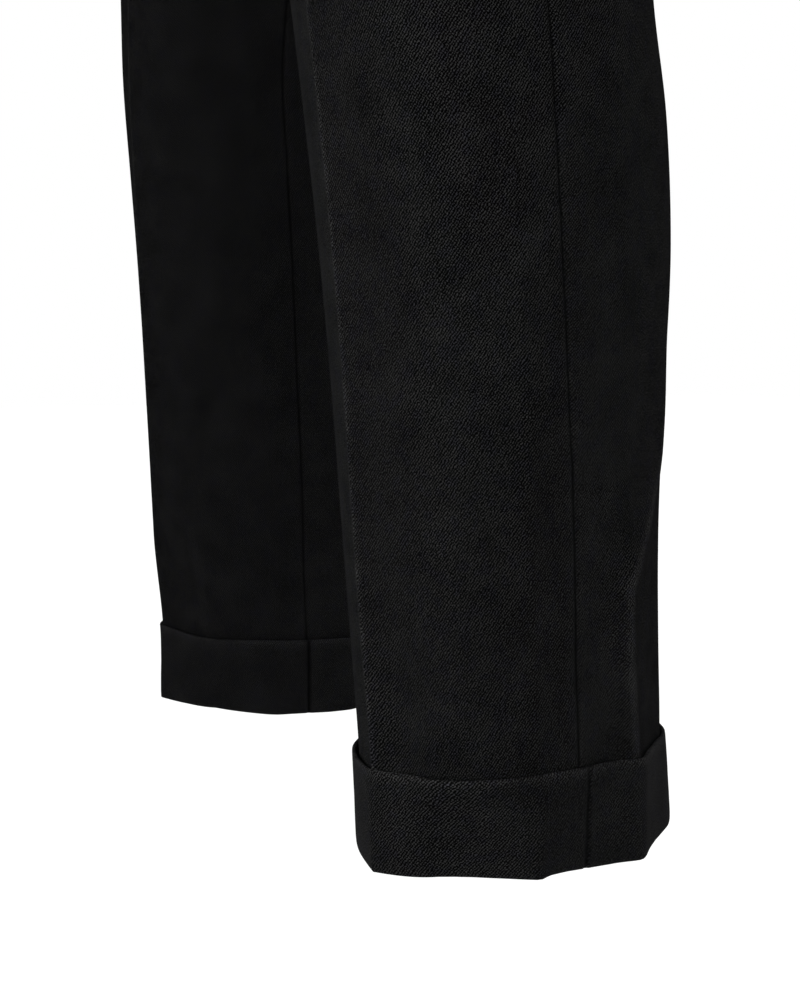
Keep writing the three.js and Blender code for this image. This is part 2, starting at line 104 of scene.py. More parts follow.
def inner_edge(height, is_front):
    """Where a panel ends on its inner side: the inseam, or the crotch seam above it."""
    if height <= crotch_height:
        return np.array([flowing(inseam_line, "inseam", height), flowing(leg_lines, "seams", height)])
    fork, hip, waist = (110, -118, -104) if is_front else (120, 134, 104)
    rise = min((height - crotch_height) / fork, 1)
    y = 8 + (hip - 8) * np.sqrt(1 - (1 - rise) ** 2)
    above = height - crotch_height - fork
    if above > 0:
        y = hip + (waist - hip) * (above / (240 - fork)) ** 1.6
    return np.array([seam_gap / 2, y])


def bent(start, end, start_pull, end_pull):
    """A curve between two points with a handle at each, as many short steps."""
    t = np.linspace(0, 1, 161)[:, None]
    return ((1 - t) ** 3 * start + 3 * (1 - t) ** 2 * t * (start + start_pull)
            + 3 * (1 - t) * t * t * (end + end_pull) + t ** 3 * end)


def section(height, is_front, out=0.0):
    """One panel's section: from the side seam to the crease, and from there to its inner edge."""
    sign = -1 if is_front else 1
    seams = flowing(leg_lines, "seams", height)
    side = np.array([flowing(leg_lines, "outseam", height) + out, seams])
    crease = np.array([flowing(leg_lines, "creases", height),
                       flowing(leg_lines, "front" if is_front else "back", height) + sign * out])
    inner = inner_edge(height, is_front)
    if height <= crotch_height:
        inner[0] -= out
    bend, blunt = (0, 1.45) if is_front else (8, 1)
    lean = flowing(top_line, "lean", height)
    to_side = np.radians(bend + lean)
    to_inner = np.radians(bend - lean)
    long = abs(crease[1] - side[1]) * roundness
    outer = (side[0] - crease[0]) * roundness * blunt
    inward = (crease[0] - inner[0]) * roundness * blunt
    if height >= pleats_open:
        corner = np.array([inner[0] + (crease[0] - inner[0]) * roundness, inner[1]])
    elif height >= fork_end:
        corner = np.array([crease[0] * flowing(corner_line, "across", height),
                           seams + (crease[1] - seams) * flowing(corner_line, "deep", height)])
    else:
        corner = np.array([inner[0], inner[1] + (crease[1] - inner[1]) * roundness])
    first = bent(side, crease, np.array([0, sign * long]),
                 np.array([np.cos(to_side), -sign * np.sin(to_side)]) * outer)
    second = bent(crease, inner, np.array([-np.cos(to_inner), -sign * np.sin(to_inner)]) * inward,
                  corner - inner)
    return first, second


# The faces that pressing leaves on a leg, by place round it: 0 at the front crease, 1 at the outseam, 2 at
# the back crease and 3 at the inseam, and the share of "flat" that each is pressed in. Then how far the
# bottom of the leg stands out or in besides.
pressed_faces = [(0, 0.8, 1), (0.8, 1.3, 0.3), (1.3, 2, 0.4),
                 (2, 2.7, 0.3), (2.7, 3.2, 0.25), (3.2, 4, 0.4)]
hem_shape = {"place": [0, 0.15, 0.3, 0.4, 0.52, 0.65, 0.8, 0.93, 1.04, 1.15, 1.3, 1.5, 1.7, 1.9, 2.1, 2.4,
                       2.7, 3.2, 3.6, 4],
             "out": [0, -2.8, -5.5, -6, -5.6, -5, -4, -3.2, -1.4, 0, 2.5, 2.5, 4, 4, 3, 1, 0, 0, 1.5, 0]}


def pressed_out(places, height):
    """How far pressing moves the cloth out at places round the leg."""
    out = np.interp(places, hem_shape["place"], hem_shape["out"]) * np.clip((-915 - height) / 45, 0, 1)
    for start, end, share in pressed_faces:
        x = np.clip((places - start) / (end - start), 0, 1)
        out -= flowing(leg_lines, "flat", height) * share * 4 * x * (1 - x)
    return out


def run_of(points):
    """How far each point of a row lies from the row's first point, along it."""
    steps = np.linalg.norm(np.diff(points, axis=0), axis=1)
    return np.concatenate([[0], np.cumsum(steps)])


def along(curves, shares):
    """Points at even shares of two curves' lengths: 0 to 1 on the first and 1 to 2 on the second."""
    points = np.zeros((len(shares), 2))
    for which, curve in enumerate(curves):
        run = run_of(curve)
        mine = (shares <= 1) if which == 0 else (shares > 1)
        for k in (0, 1):
            points[mine, k] = np.interp((shares[mine] - which) * run[-1], run, curve[:, k])
    return points


# Heights of the rows of cloth, closest together round the crotch and in the lower leg.
rows = np.concatenate([
    np.arange(panel_top, -236, -5),
    [-238, -241.5, -245, -248, -251, -253.5, -255.5, -257, -258.3, -259.3, -260],
    [-260.6, -261.4, -262.5, -264, -266, -268.5, -271.5, -275, -279],
    np.arange(-283.5, -640, -4.5), np.arange(-642, -956, -3.5), [panel_end]])

# Pleats: where the fold edge lies between the side seam and the crease line, and the cloth under it.
pleats = [(0.56, 12), (1, 16)]
layer_mm = 2
pleat_columns = [(share, 0, 0) for share in (0, 0.2, 0.4)]
for edge, depth in pleats:
    pleat_columns += [(edge, offset, layer) for offset, layer in (
        (-6, 0), (depth - 1, 0), (depth, 0.5), (depth - 1, 1), (1, 1), (0, 1.5), (1, 2),
        (depth * 0.7, 2), (depth + 14, 0.6))]
pleat_columns += [(1 + share, 0, 0) for share in (0.58, 0.8, 1)]
pleat_columns = np.array(pleat_columns, float)
crease_column = 17            # the main pleat's fold edge, which runs on as the crease

# Columns of a front panel, close together beside the seams and the crease.
near_edge = np.array([0, 0.07, 0.16, 0.28, 0.42, 0.6, 0.8])
front_columns = np.concatenate([
    near_edge, np.arange(1, 16, 1 / 3), 17 - near_edge[::-1],
    17 + near_edge[1:] * 0.45, np.arange(17.5, 22.6, 1 / 6), 23 - near_edge[::-1] * 0.45])
front_columns = np.unique(np.round(front_columns, 4))


def front_row(height):
    """The middle of a front panel's cloth at one height, and each column's place round the leg."""
    curves = section(height, True)
    long = [run_of(curve)[-1] for curve in curves]
    whole = np.clip(np.floor(front_columns).astype(int), 0, len(pleat_columns) - 2)
    part = front_columns - whole
    before, after = pleat_columns[whole], pleat_columns[whole + 1]

    def flat_share(column):
        at = column[:, 0] * long[0] + column[:, 1]
        over = 1 + (at - long[0]) / long[1]
        return np.where(column[:, 0] > 1, column[:, 0], np.where(at <= long[0], at / long[0], over))

    flat = flat_share(before) * (1 - part) + flat_share(after) * part
    layer = before[:, 2] + (after[:, 2] - before[:, 2]) * eased(part)
    opened = np.where(front_columns <= crease_column, front_columns / crease_column,
                      1 + (front_columns - crease_column) / (23 - crease_column))
    open_now = flowing(top_line, "open", height) if height > pleats_open else 1.0
    share = flat + (opened - flat) * open_now
    points = along(curves, share)
    heading = along(curves, np.minimum(share + 0.01, 2)) - along(curves, np.maximum(share - 0.01, 0))
    heading /= np.linalg.norm(heading, axis=1)[:, None]
    raised = layer * layer_mm * (1 - eased((open_now - 0.55) / 0.45))
    points = points + np.stack([-heading[:, 1], heading[:, 0]], -1) * raised[:, None]
    return points, np.where(opened > 1, 5 - opened, 1 - opened)


def outward(grid, turn):
    """Unit directions out of a grid of points."""
    across = np.gradient(grid, axis=1)
    down = np.gradient(grid, axis=0)
    out = np.cross(across, down) * turn
    return out / np.maximum(np.linalg.norm(out, axis=2), 1e-9)[:, :, None]


# Soft folds by where they run: round the leg from 0 at the front crease over 1 at the outseam, 2 at the
# back crease and 3 at the inseam, then the height in mm and how far they stand out or sink in, in mm.
# The first number is each fold's half width.
left_folds = [
    (8, [(1.84, -735, 0), (1.62, -785, 1.8), (1.27, -842, 3.0),
         (1.28, -880, 3.0), (1.31, -915, 2.8), (1.3, -960, 2.2)]),
    (13, [(1.2, -770, 0), (1.12, -835, -1.1), (1.15, -900, -1.4), (1.16, -960, -0.6)]),
    (12, [(1.62, -830, 0), (1.6, -880, -1.6), (1.62, -915, -1.4), (1.6, -960, -0.6)]),
    (12, [(0.19, -840, 0), (0.18, -890, -3.0), (0.17, -920, -2.8), (0.16, -945, 0)]),
    (13, [(0.86, -780, 0), (0.82, -850, -2.4), (0.8, -915, -3.0), (0.78, -945, 0)]),
    (18, [(0.5, -790, 0), (0.48, -870, 1.2), (0.47, -918, 0.9), (0.46, -945, 0)]),
    (18, [(0.5, -640, 0), (0.44, -730, 0.9), (0.42, -820, 0.7), (0.4, -900, 0)]),
    (16, [(0.72, -560, 0), (0.78, -660, -0.8), (0.75, -760, -0.6), (0.7, -840, 0)]),
    (11, [(1.4, -512, 0), (1.85, -526, -2.2), (2.35, -522, -2.0), (2.8, -508, 0)]),
    (9, [(1.5, -538, 0), (2.02, -548, 1.5), (2.6, -537, 0)]),
    (10, [(1.6, -560, 0), (2.1, -570, -1.7), (2.55, -560, 0)]),
    (9, [(1.72, -596, 0), (2.0, -604, -1.0), (2.35, -598, 0)]),
    (9, [(3.05, -292, 0), (3.4, -262, 1.3), (3.72, -228, 1.0), (4.0, -192, 0)]),
    (8, [(3.06, -318, 0), (3.4, -296, 1.1), (3.75, -272, 0.8), (4.1, -246, 0)]),
    (10, [(2.95, -300, 0), (2.6, -292, -1.5), (2.2, -300, -1.3), (1.7, -292, 0)]),
    (9, [(2.92, -322, 0), (2.55, -322, 1.2), (2.1, -330, 1.0), (1.75, -322, 0)]),
    (16, [(0.5, -120, 0), (0.46, -210, 1.5), (0.44, -300, 1.2), (0.4, -430, 0)]),
    (15, [(0.8, -150, 0), (0.76, -240, -1.3), (0.72, -330, -0.9), (0.7, -420, 0)]),
    (18, [(1.5, -330, 0), (1.45, -400, 1.3), (1.52, -470, 0)]),
]
right_folds = [
    (13, [(3.6, -800, 0), (3.64, -850, 1.5), (3.62, -897, 1.6), (3.61, -930, 0.8), (3.6, -960, 0.6)]),
    (14, [(3.84, -820, 0), (3.85, -870, -1.2), (3.84, -915, -1.3), (3.83, -945, 0)]),
    (14, [(3.32, -830, 0), (3.3, -880, -1.1), (3.28, -918, -1.3), (3.27, -945, 0)]),
    (10, [(0.3, -872, 0), (0.28, -905, -0.9), (0.28, -920, -0.9), (0.3, -945, 0)]),
    (9, [(1.78, -760, 0), (1.6, -805, 1.3), (1.38, -850, 2.0), (1.4, -915, 2.0), (1.36, -960, 1.6)]),
    (13, [(1.15, -800, 0), (1.16, -860, -1.1), (1.14, -915, -1.0), (1.15, -950, 0)]),
    (18, [(0.44, -650, 0), (0.5, -740, 0.8), (0.46, -840, 0.6), (0.45, -910, 0)]),
    (12, [(1.45, -520, 0), (1.9, -532, -2.0), (2.4, -524, -1.7), (2.75, -514, 0)]),
    (9, [(1.55, -548, 0), (2.06, -555, 1.3), (2.5, -549, 0)]),
    (10, [(1.65, -572, 0), (2.05, -580, -1.5), (2.6, -570, 0)]),
    (9, [(3.05, -300, 0), (3.42, -268, 1.2), (3.75, -236, 0.9), (4.02, -205, 0)]),
    (8, [(3.06, -330, 0), (3.45, -306, 0.9), (3.8, -284, 0)]),
    (10, [(2.95, -306, 0), (2.62, -298, -1.4), (2.15, -304, -1.2), (1.72, -298, 0)]),
    (9, [(2.92, -330, 0), (2.5, -330, 1.1), (2.05, -336, 0.8), (1.8, -330, 0)]),
    (16, [(0.46, -130, 0), (0.42, -220, 1.4), (0.46, -310, 1.1), (0.44, -420, 0)]),
    (15, [(0.78, -140, 0), (0.74, -230, -1.2), (0.76, -320, -0.9), (0.72, -410, 0)]),
    (18, [(1.55, -340, 0), (1.5, -410, 1.2), (1.56, -480, 0)]),
]


def drape(folds, place, height):
    """How far the folds move the cloth out at places round the leg and heights."""
    out = np.zeros(place.shape)
    quarter = 100 + 50 * np.clip((height - hem_height) / 700, 0, 1)
    for width, stops in folds:
        near = np.full(out.shape, 1e9)
        deep = np.zeros(out.shape)
        for (place0, height0, deep0), (place1, height1, deep1) in zip(stops, stops[1:]):
            middle = (place0 + place1) / 2
            turned = (place - middle + 2) % 4 - 2 + middle
            x, y = (turned - place0) * quarter, height - height0
            dx, dy = (place1 - place0) * quarter, height1 - height0
            t = np.clip((x * dx + y * dy) / (dx * dx + dy * dy), 0, 1)
            away = np.hypot(x - t * dx, y - t * dy)
            closer = away < near
            near = np.where(closer, away, near)
            deep = np.where(closer, deep0 + (deep1 - deep0) * t, deep)
        out += deep * np.exp(-(near / width) ** 2)
    return out


right_stands_back = 9


def set_back(points, side):
    """Points of the left leg as they are, or carried over to the right leg, which stands further back.
    Its hem is drawn in a little in front and rides about 8 mm higher there than behind."""
    points = points.copy()
    if side == "right":
        points[..., 2] -= points[..., 1] / 19 * eased((-800 - points[..., 2]) / 140)
        points[..., 1] -= np.minimum(points[..., 1], 0) * 0.055 * eased((-850 - points[..., 2]) / 70)
        points[..., 1] += right_stands_back * eased((-300 - points[..., 2]) / 260)
        points[..., 0] *= -1
    return points


def mesh_piece(name, points, faces, weave, lines=None):
    """A mesh from points in mm, with each corner's place in the weave, in metres, as its UV map. lines are
    attributes for light painted on the cloth: how near a point is to a seam, where shade is painted, and
    to a crease, fold edge or rim, where a highlight is painted."""
    mesh = bpy.data.meshes.new(name)
    places = [tuple(point) for point in np.asarray(points) / 1000]
    mesh.from_pydata(places, [], [tuple(int(i) for i in face) for face in faces])
    layer = mesh.uv_layers.new(name="weave")
    layer.data.foreach_set("uv", (np.asarray(weave, float) / 1000).ravel())
    for line in ("seam", "ridge"):
        near = mesh.attributes.new(line, "FLOAT", "POINT")
        near.data.foreach_set("value", (lines or {}).get(line, np.zeros(len(points))).ravel())
    piece = bpy.data.objects.new(name, mesh)
    bpy.context.collection.objects.link(piece)
    bpy.ops.object.select_all(action="DESELECT")
    piece.select_set(True)
    bpy.context.view_layer.objects.active = piece
    bpy.ops.object.shade_smooth_by_angle(angle=np.radians(50))
    return piece


def wall_piece(name, middle, across, turn, lines=None, thick=cloth_mm):
    """A wall of cloth on a grid of middle points. across is each point's place along the weave."""
    lines = {line: np.concatenate([near, near * 0]) for line, near in (lines or {}).items()}
    out = outward(middle, turn)
    count, wide = middle.shape[:2]
    outer, inner = middle + out * thick / 2, middle - out * thick / 2
    points = np.concatenate([outer.reshape(-1, 3), inner.reshape(-1, 3)])
    weave = np.stack([across, middle[:, :, 2]], -1).reshape(-1, 2)
    weave = np.concatenate([weave, weave])
    r, c = np.meshgrid(np.arange(count - 1), np.arange(wide - 1), indexing="ij")
    a = (r * wide + c).ravel()
    face = np.stack([a, a + wide, a + wide + 1, a + 1], -1)
    inside = face[:, ::-1] + count * wide
    sides = []
    for c0 in (0, wide - 1):
        edge = np.arange(count - 1) * wide + c0
        strip = np.stack([edge, edge + count * wide, edge + wide + count * wide, edge + wide], -1)
        sides.append(strip if c0 == 0 else strip[:, ::-1])
    for r0 in (0, count - 1):
        edge = r0 * wide + np.arange(wide - 1)
        strip = np.stack([edge, edge + 1, edge + 1 + count * wide, edge + count * wide], -1)
        sides.append(strip if r0 == 0 else strip[:, ::-1])
    faces = np.concatenate([face, inside] + sides)
    if volume(points, faces) < 0:
        faces = faces[:, ::-1]
    return mesh_piece(name, points, faces, weave[faces.ravel()], lines)


def volume(points, faces):
    """The signed volume inside a closed mesh of four-sided faces."""
    a, b, c, d = (points[faces[:, k]] for k in range(4))
    return (np.einsum("ij,ij->i", a, np.cross(b, c)) + np.einsum("ij,ij->i", a, np.cross(c, d))).sum() / 6


# Half widths in mm of the painted lines on the cloth: painted shade along the seams, painted highlight
# along the crease and the main fold's edge; and how far the middle seams' edges lap.
seam_shade_width = 0.75
crease_highlight_width = 1.0
edge_highlight_width = 1.8
middle_lap = 0.1


def shaped_panel(side, is_front):
    """A panel's middle grid with its creases, seams and folds, and its places along the weave."""
    grid, places = [], []
    for height in rows:
        if is_front:
            points, place = front_row(height)
        else:
            points, place = back_row(height)
        grid.append(np.column_stack([points, np.full(len(points), height)]))
        places.append(place)
    grid, places = np.array(grid), np.array(places)
    heights = grid[:, :, 2]
    turn = 1 if is_front else -1
    run = np.array([run_of(row) for row in grid])
    from_crease = run - run[:, crease_at[is_front]][:, None]
    from_side, from_inner = run, run[:, -1:] - run
    pressed = eased((-190 - heights) / 70) * (1 if is_front else 0.8)
    folds = left_folds if side == "left" else right_folds
    out = drape(folds, places, heights)
    out += np.array([pressed_out(places[r], height) for r, height in enumerate(rows)])
    out += pressed * 1.2 * np.exp(-np.abs(from_crease) / 6)
    ripple = np.sin(heights / 5.3) + np.sin(heights / 8.9 + 2)
    for away in (from_side, from_inner):
        out -= 0.75 * np.exp(-(away / 1.4) ** 2)
        out += 0.09 * ripple * np.exp(-(away / 7) ** 2)
    grid += outward(grid, turn) * out[:, :, None]
    # Cloth keeps to its own side of the seams: the middle plane above the crotch, the seams' y below.
    seams = np.array([flowing(leg_lines, "seams", height) for height in rows])[:, None]
    low = seam_gap / 2 + 0.02
    grid[:, :, 0] = np.maximum(grid[:, :, 0], low)
    grid[:, :, 1] = (np.minimum(grid[:, :, 1], seams - low) if is_front
                     else np.maximum(grid[:, :, 1], seams + low))
    # Above the crotch the two sides' edges close up against each other.
    grid[rows > crotch_height, -1, 0] = -middle_lap
    grid = set_back(grid, side)
    # A painted highlight: a fine paler line is painted along the edge of the leg's main fold, as along the
    # crease.
    edge_highlight_stops = [(place, height, min(deep, 1)) for place, height, deep in folds[0][1]]
    edge_highlight = drape([(edge_highlight_width, edge_highlight_stops)], places, heights)
    # Painted shade along the seams; painted highlight along the pressed crease and the main fold's edge.
    lines = {"seam": np.exp(-(from_side / seam_shade_width) ** 2) + np.exp(-(from_inner / seam_shade_width) ** 2),
             "ridge": pressed * np.exp(-(from_crease / crease_highlight_width) ** 2)
             + (1.8 if side == "left" else 0.3) * edge_highlight}
    across = -from_crease if side == "left" and is_front else from_crease
    if not is_front:
        across = from_crease if side == "left" else -from_crease
    return grid, across, turn if side == "left" else -turn, lines


crease_at = {True: int(np.argmin(np.abs(front_columns - crease_column)))}

front_left_grid, *rest = shaped_panel("left", True)
left_front = wall_piece("left_front_panel", front_left_grid, *rest)
right_front = wall_piece("right_front_panel", *shaped_panel("right", True))


def linear(code):
    """An sRGB hex colour as the linear colour that a shader socket takes."""
    parts = np.array([int(code[i:i + 2], 16) for i in (1, 3, 5)]) / 255
    parts = np.where(parts <= 0.04045, parts / 12.92, ((parts + 0.055) / 1.055) ** 2.4)
    return (*(float(part) for part in parts), 1.0)


def node(material, kind, inputs=None, **settings):
    """Adds a node with its settings, its values and its links."""
    made = material.node_tree.nodes.new(kind)
    for key, value in settings.items():
        setattr(made, key, value)
    for key, value in (inputs or {}).items():
        if isinstance(value, bpy.types.NodeSocket):
            material.node_tree.links.new(value, made.inputs[key])
        else:
            made.inputs[key].default_value = value
    return made


def new_material(name):
    """An empty material with an output node."""
    material = bpy.data.materials.new(name)
    material.use_nodes = True
    material.node_tree.nodes.clear()
    return material


def wool_twill(name, sheen):
    """Black wool twill, woven, fulled and pressed: fine slanting lines of yarn, broken up by a short nap,
    with faint blue-black clouds from the dye, painted shade along the seams and a painted highlight along
    pressed creases, fold edges and the turn-ups' rims."""
    material = new_material(name)
    weave = node(material, "ShaderNodeUVMap", uv_map="weave").outputs["UV"]
    place = node(material, "ShaderNodeTexCoord").outputs["Object"]
    # Twill lines 1.05 mm apart, about three times a real yarn's spacing, as fine as the render shows.
    slanted = node(material, "ShaderNodeMapping", {"Vector": weave, "Rotation": (0, 0, np.radians(38))})
    lines = node(material, "ShaderNodeTexWave", {
        "Vector": slanted.outputs[0], "Scale": 300, "Distortion": 5, "Detail": 2, "Detail Scale": 1.5,
        "Detail Roughness": 0.6}, wave_type="BANDS", bands_direction="X", wave_profile="SIN")
    crossing = node(material, "ShaderNodeMapping", {"Vector": weave, "Rotation": (0, 0, np.radians(-48))})
    picks = node(material, "ShaderNodeTexWave", {
        "Vector": crossing.outputs[0], "Scale": 310, "Distortion": 6, "Detail": 2, "Detail Scale": 1.7,
        "Detail Roughness": 0.6}, wave_type="BANDS", bands_direction="X", wave_profile="SIN")
    fibres = node(material, "ShaderNodeTexNoise", {
        "Vector": weave, "Scale": 1400, "Detail": 1, "Roughness": 0.5}, noise_dimensions="2D")
    woven = node(material, "ShaderNodeMix", {
        "Factor": 0.35, "A": lines.outputs["Fac"], "B": picks.outputs["Fac"]}, data_type="FLOAT")
    napped = node(material, "ShaderNodeMix", {
        "Factor": 0.5, "A": woven.outputs[0], "B": fibres.outputs["Fac"]}, data_type="FLOAT")
    clouds = node(material, "ShaderNodeTexNoise", {
        "Vector": place, "Scale": 60, "Detail": 4, "Roughness": 0.62})
    cloudy = node(material, "ShaderNodeMapRange", {
        "Value": clouds.outputs["Fac"], "From Min": 0.3, "From Max": 0.7, "To Min": -0.04, "To Max": 0.04})
    tone = node(material, "ShaderNodeMath", {0: napped.outputs[0], 1: cloudy.outputs[0]}, operation="ADD")
    yarns = node(material, "ShaderNodeValToRGB", {"Fac": tone.outputs[0]})
    ramp = yarns.color_ramp
    ramp.elements[0].position = 0.3
    ramp.elements[0].color = linear("#010101")
    ramp.elements[1].position = 0.74
    ramp.elements[1].color = linear("#202020")
    middle = ramp.elements.new(0.5)
    middle.color = linear("#050505")
    dye = node(material, "ShaderNodeTexNoise", {"Vector": place, "Scale": 190, "Detail": 2})
    dye_share = node(material, "ShaderNodeMapRange", {
        "Value": dye.outputs["Fac"], "From Min": 0.5, "From Max": 0.6, "To Min": 0, "To Max": 1})
    tinted = node(material, "ShaderNodeMix", {
        "Factor": dye_share.outputs[0], "A": yarns.outputs["Color"], "B": linear("#f2f2ff")},
        data_type="RGBA", blend_type="MULTIPLY")
    # Painted shade: the cloth is darkened along the seams, where their grooves would lie in shade.
    seam = node(material, "ShaderNodeAttribute", attribute_name="seam")
    seam_shade_share = node(material, "ShaderNodeMath", {0: seam.outputs["Fac"], 1: 0.85}, operation="MULTIPLY")
    with_painted_seam_shade = node(material, "ShaderNodeMix", {
        "Factor": seam_shade_share.outputs[0], "A": tinted.outputs[2], "B": linear("#010101")}, data_type="RGBA")
    # Painted highlight: the cloth is lightened along pressed creases, fold edges and rims, where they
    # catch the light.
    ridge = node(material, "ShaderNodeAttribute", attribute_name="ridge")
    with_painted_highlight = node(material, "ShaderNodeMix", {
        "Factor": ridge.outputs["Fac"], "A": with_painted_seam_shade.outputs[2], "B": (1.7, 1.7, 1.7, 1)},
        data_type="RGBA", blend_type="MULTIPLY")
    raised = node(material, "ShaderNodeBump", {
        "Height": tone.outputs[0], "Strength": 0.5, "Distance": 0.0003})
    shader = node(material, "ShaderNodeBsdfPrincipled", {
        "Base Color": with_painted_highlight.outputs[2], "Roughness": 0.92, "IOR": 1.45, "Specular IOR Level": 0,
        "Sheen Weight": sheen, "Sheen Roughness": 0.5, "Sheen Tint": linear("#c9c9cb"),
        "Normal": raised.outputs[0]})
    node(material, "ShaderNodeOutputMaterial", {"Surface": shader.outputs[0]})
    return material


twill = wool_twill("black_wool_twill", 0.004)


def finish_cloth(piece, cad_node, cloth=twill):
    """Gives a piece its cloth, hides the CAD node it stands for, and attaches the piece to the root body.
    """
    piece.data.materials.append(cloth)
    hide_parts(cad_node)
    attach(piece, "root")


finish_cloth(left_front, "front_left")
finish_cloth(right_front, "front_right")

# Back panels: one piece of the same twill for each leg, wider than the front and cut with a longer
# crotch. Each has one dart under the waistband, and is pressed so that a crease runs down the back.
back_columns = np.concatenate([
    near_edge * 0.06, np.arange(0.07, 0.94, 0.016), 1 - near_edge[::-1] * 0.06,
    1 + near_edge[1:] * 0.06, np.arange(1.07, 1.94, 0.024), 2 - near_edge[::-1] * 0.06])
back_columns = np.unique(np.round(back_columns, 4))
crease_at[False] = int(np.argmin(np.abs(back_columns - 1)))


def back_row(height):
    """The middle of a back panel's cloth at one height, and each column's place round the leg."""
    points = along(section(height, False), back_columns)
    dart = 1.6 * eased((height + 115) / 95)
    from_dart = (back_columns - 1) * 90
    points[:, 1] -= dart * np.exp(-(from_dart / 3.5) ** 2)
    return points, 1 + back_columns


left_back = wall_piece("left_back_panel", *shaped_panel("left", False))
right_back = wall_piece("right_back_panel", *shaped_panel("right", False))
finish_cloth(left_back, "back_left")
finish_cloth(right_back, "back_right")

# Fly: the fronts meet at the middle over a strip of cloth, the underlap, which is sewn to the right
# front. A curved line of stitches on the left front holds the fly's facing.
underlap_heights = np.arange(panel_top, -170.1, -5)
underlap_columns = np.linspace(0, 1, 15)
underlap_grid = []
for height in underlap_heights:
    points, place = front_row(height)
    order = np.argsort(points[:, 0])
    wide = 1 - 0.3 * eased((-145 - height) / 25)
    x = (-34 + 42 * underlap_columns) * wide
    reach = np.maximum(np.abs(x), points[:, 0].min())
    y = np.interp(reach, points[order, 0], points[order, 1])
    underlap_grid.append(np.column_stack([x, y + 1.9, np.full(len(x), height)]))
underlap_grid = np.array(underlap_grid)
underlap = wall_piece("fly_underlap_strip", underlap_grid, underlap_grid[:, :, 0], 1)
finish_cloth(underlap, "fly_underlap")


def polyester_thread():
    """Black spun polyester thread: a fine twist with a slight gloss."""
    material = new_material("black_polyester_thread")
    place = node(material, "ShaderNodeTexCoord").outputs["Object"]
    twist = node(material, "ShaderNodeTexWave", {
        "Vector": place, "Scale": 520, "Distortion": 0.8, "Detail": 1}, bands_direction="DIAGONAL")
    tones = node(material, "ShaderNodeValToRGB", {"Fac": twist.outputs["Fac"]})
    tones.color_ramp.elements[0].color = linear("#0d0d0e")
    tones.color_ramp.elements[1].color = linear("#262628")
    raised = node(material, "ShaderNodeBump", {
        "Height": twist.outputs["Fac"], "Strength": 0.4, "Distance": 0.0001})
    shader = node(material, "ShaderNodeBsdfPrincipled", {
        "Base Color": tones.outputs["Color"], "Roughness": 0.5, "Specular IOR Level": 0.4,
        "Normal": raised.outputs[0]})
    node(material, "ShaderNodeOutputMaterial", {"Surface": shader.outputs[0]})
    return material


thread = polyester_thread()


def thread_piece(name, paths, thick):
    """Lengths of thread as round tubes along paths of points in mm."""
    points, faces = [], []
    sides = 6
    for path in paths:
        path = np.asarray(path, float)
        heading = np.gradient(path, axis=0)
        heading /= np.linalg.norm(heading, axis=1)[:, None]
        up = np.where(np.abs(heading[:, 2:3]) > 0.8, [[1.0, 0, 0]], [[0, 0, 1.0]])
        one = np.cross(heading, up)
        one /= np.linalg.norm(one, axis=1)[:, None]
        two = np.cross(heading, one)
        start = len(points)
        last = len(path) - 1
        for i, centre in enumerate(path):
            size = thick / 2 * (0.55 if i in (0, last) else 1)
            for k in range(sides):
                angle = 2 * np.pi * k / sides
                points.append(centre + (np.cos(angle) * one[i] + np.sin(angle) * two[i]) * size)
        for i in range(last):
            for k in range(sides):
                a, b = start + i * sides + k, start + i * sides + (k + 1) % sides
                faces.append((a, b, b + sides, a + sides))
        faces.append(tuple(start + k for k in range(sides))[::-1])
        faces.append(tuple(start + last * sides + k for k in range(sides)))
    mesh = bpy.data.meshes.new(name)
    mesh.from_pydata([tuple(p / 1000) for p in points], [], faces)
    piece = bpy.data.objects.new(name, mesh)
    bpy.context.collection.objects.link(piece)
    bpy.ops.object.select_all(action="DESELECT")
    piece.select_set(True)
    bpy.context.view_layer.objects.active = piece
    bpy.ops.object.mode_set(mode="EDIT")
    bpy.ops.mesh.select_all(action="SELECT")
    bpy.ops.mesh.normals_make_consistent(inside=False)
    bpy.ops.object.mode_set(mode="OBJECT")
    bpy.ops.object.shade_smooth_by_angle(angle=np.radians(60))
    piece.data.materials.append(thread)
    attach(piece, "root")
    return piece


def on_left_front(x, height):
    """The outer face of the left front panel at one x and height, near the centre front."""
    i = int(np.argmin(np.abs(rows - height)))
    row = front_left_grid[i]
    outer = row[row[:, 1] < row[:, 1].min() + 30]
    order = np.argsort(outer[:, 0])
    return np.array([x, np.interp(x, outer[order, 0], outer[order, 1]) - cloth_mm / 2, height])


# The stitch line runs 34 mm from the centre front, then turns in to it above the fork. Stitches are
# 3 mm long and 0.8 mm apart.
fly_line = [(34, -22), (34.5, -60), (35, -100), (34, -125),
            (29, -146), (20, -160), (10, -168), (1.5, -172)]
fly_x, fly_height = np.array(fly_line, float).T
fly_run = run_of(np.column_stack([fly_x, fly_height]))
stitches = []
stitch_step = 3.8
for start in np.arange(2, fly_run[-1] - 3.2, stitch_step):
    at = start + np.array([0, 0.7, 1.5, 2.3, 3.0])
    sunk = np.array([0.25, -0.05, -0.16, -0.05, 0.25])
    stitches.append([on_left_front(np.interp(a, fly_run, fly_x), np.interp(a, fly_run, fly_height))
                     + np.array([0, s, 0]) for a, s in zip(at, sunk)])
thread_piece("fly_stitches", stitches, 0.5)

# Waistband: one straight strip of twill, folded over a stiffener to 40 mm high and 3 mm thick, and sewn
# to the tops of the panels. Its left end laps 30 mm over its right end in front.
band_thick = 3.0
lap_stands = 3.6


def waist_half(out, steps=14):
    """The left half of the waist, from front to back."""
    shares = 2 * (np.arange(steps) + 0.5) / steps
    front = along(section(-20, True, out), 2 - shares)
    back = along(section(-20, False, out), shares)
    return np.concatenate([front, back])


